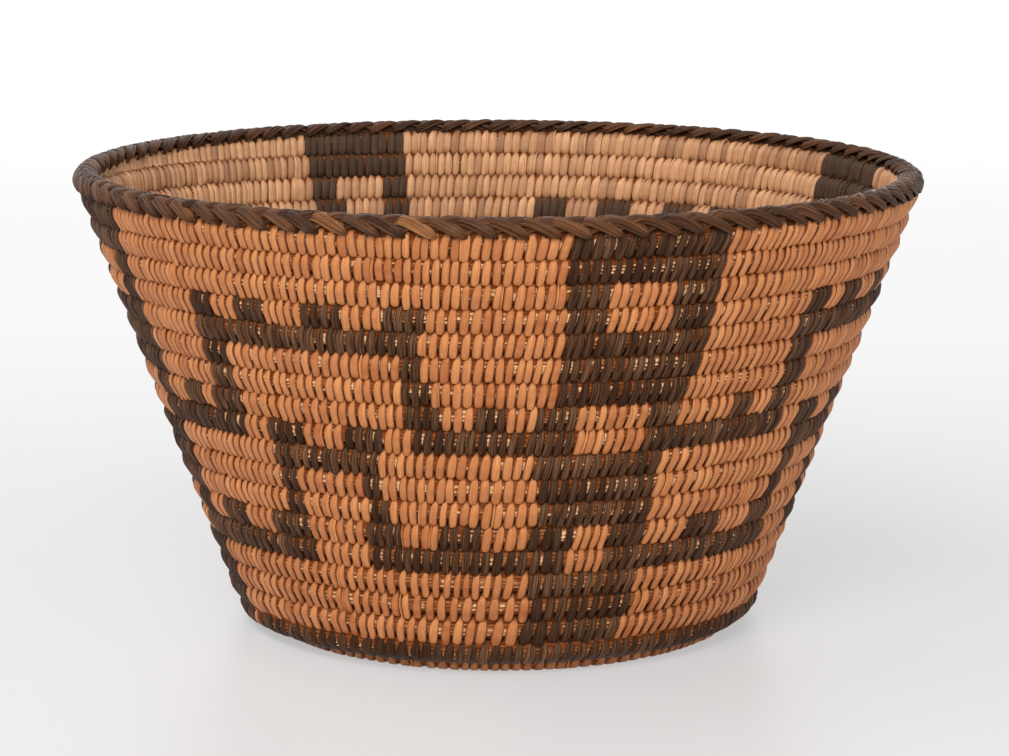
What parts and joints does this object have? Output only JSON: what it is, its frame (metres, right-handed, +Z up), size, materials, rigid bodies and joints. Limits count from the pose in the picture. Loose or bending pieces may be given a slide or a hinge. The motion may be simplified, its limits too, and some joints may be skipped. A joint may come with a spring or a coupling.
{
  "type": "coiled basket bowl",
  "caption": "Round coiled basket bowl with a flat base, a straight flaring wall of sewn coil stacked turn on turn, and a herringbone braid round the open rim.",
  "frame": {"origin": "middle of the underside of the base, on the surface that the bowl stands on", "axes": "+Z up out of the bowl's mouth, -Y towards the front, which the picture shows; the coil starts at the left and goes counterclockwise seen from above"},
  "size_m": [0.2158, 0.2158, 0.1178],
  "materials": {
    "willow_sewing": "satin, peeled willow splints sewn close over a grass bundle",
    "devils_claw_sewing": "satin, dark brown devil's-claw splints sewn close over the same bundle",
    "devils_claw_braid": "semi-gloss, dark brown devil's-claw splints in a herringbone braid"
  },
  "bodies": {
    "root": {"start_knot": "devils_claw_sewing", "base_coil_01": "willow_sewing", "base_coil_02": "willow_sewing", "base_coil_03": "willow_sewing", "base_coil_04": "willow_sewing", "base_coil_05": "willow_sewing", "base_coil_06": "willow_sewing", "base_coil_07": "willow_sewing", "base_coil_08": "willow_sewing", "base_coil_09": "willow_sewing", "wall_coil_01": "devils_claw_sewing", "wall_coil_02": "willow_sewing", "wall_coil_03": "willow_sewing", "wall_coil_04": "willow_sewing", "wall_coil_05": "willow_sewing", "wall_coil_06": "willow_sewing", "wall_coil_07": "willow_sewing", "wall_coil_08": "willow_sewing", "wall_coil_09": "willow_sewing", "wall_coil_10": "willow_sewing", "wall_coil_11": "willow_sewing", "wall_coil_12": "willow_sewing", "wall_coil_13": "willow_sewing", "wall_coil_14": "willow_sewing", "wall_coil_15": "willow_sewing", "wall_coil_16": "willow_sewing", "wall_coil_17": "willow_sewing", "wall_coil_18": "willow_sewing", "rim_coil": "willow_sewing", "coil_tail": "willow_sewing", "rim_braid": "devils_claw_braid"}
  },
  "joints": []
}
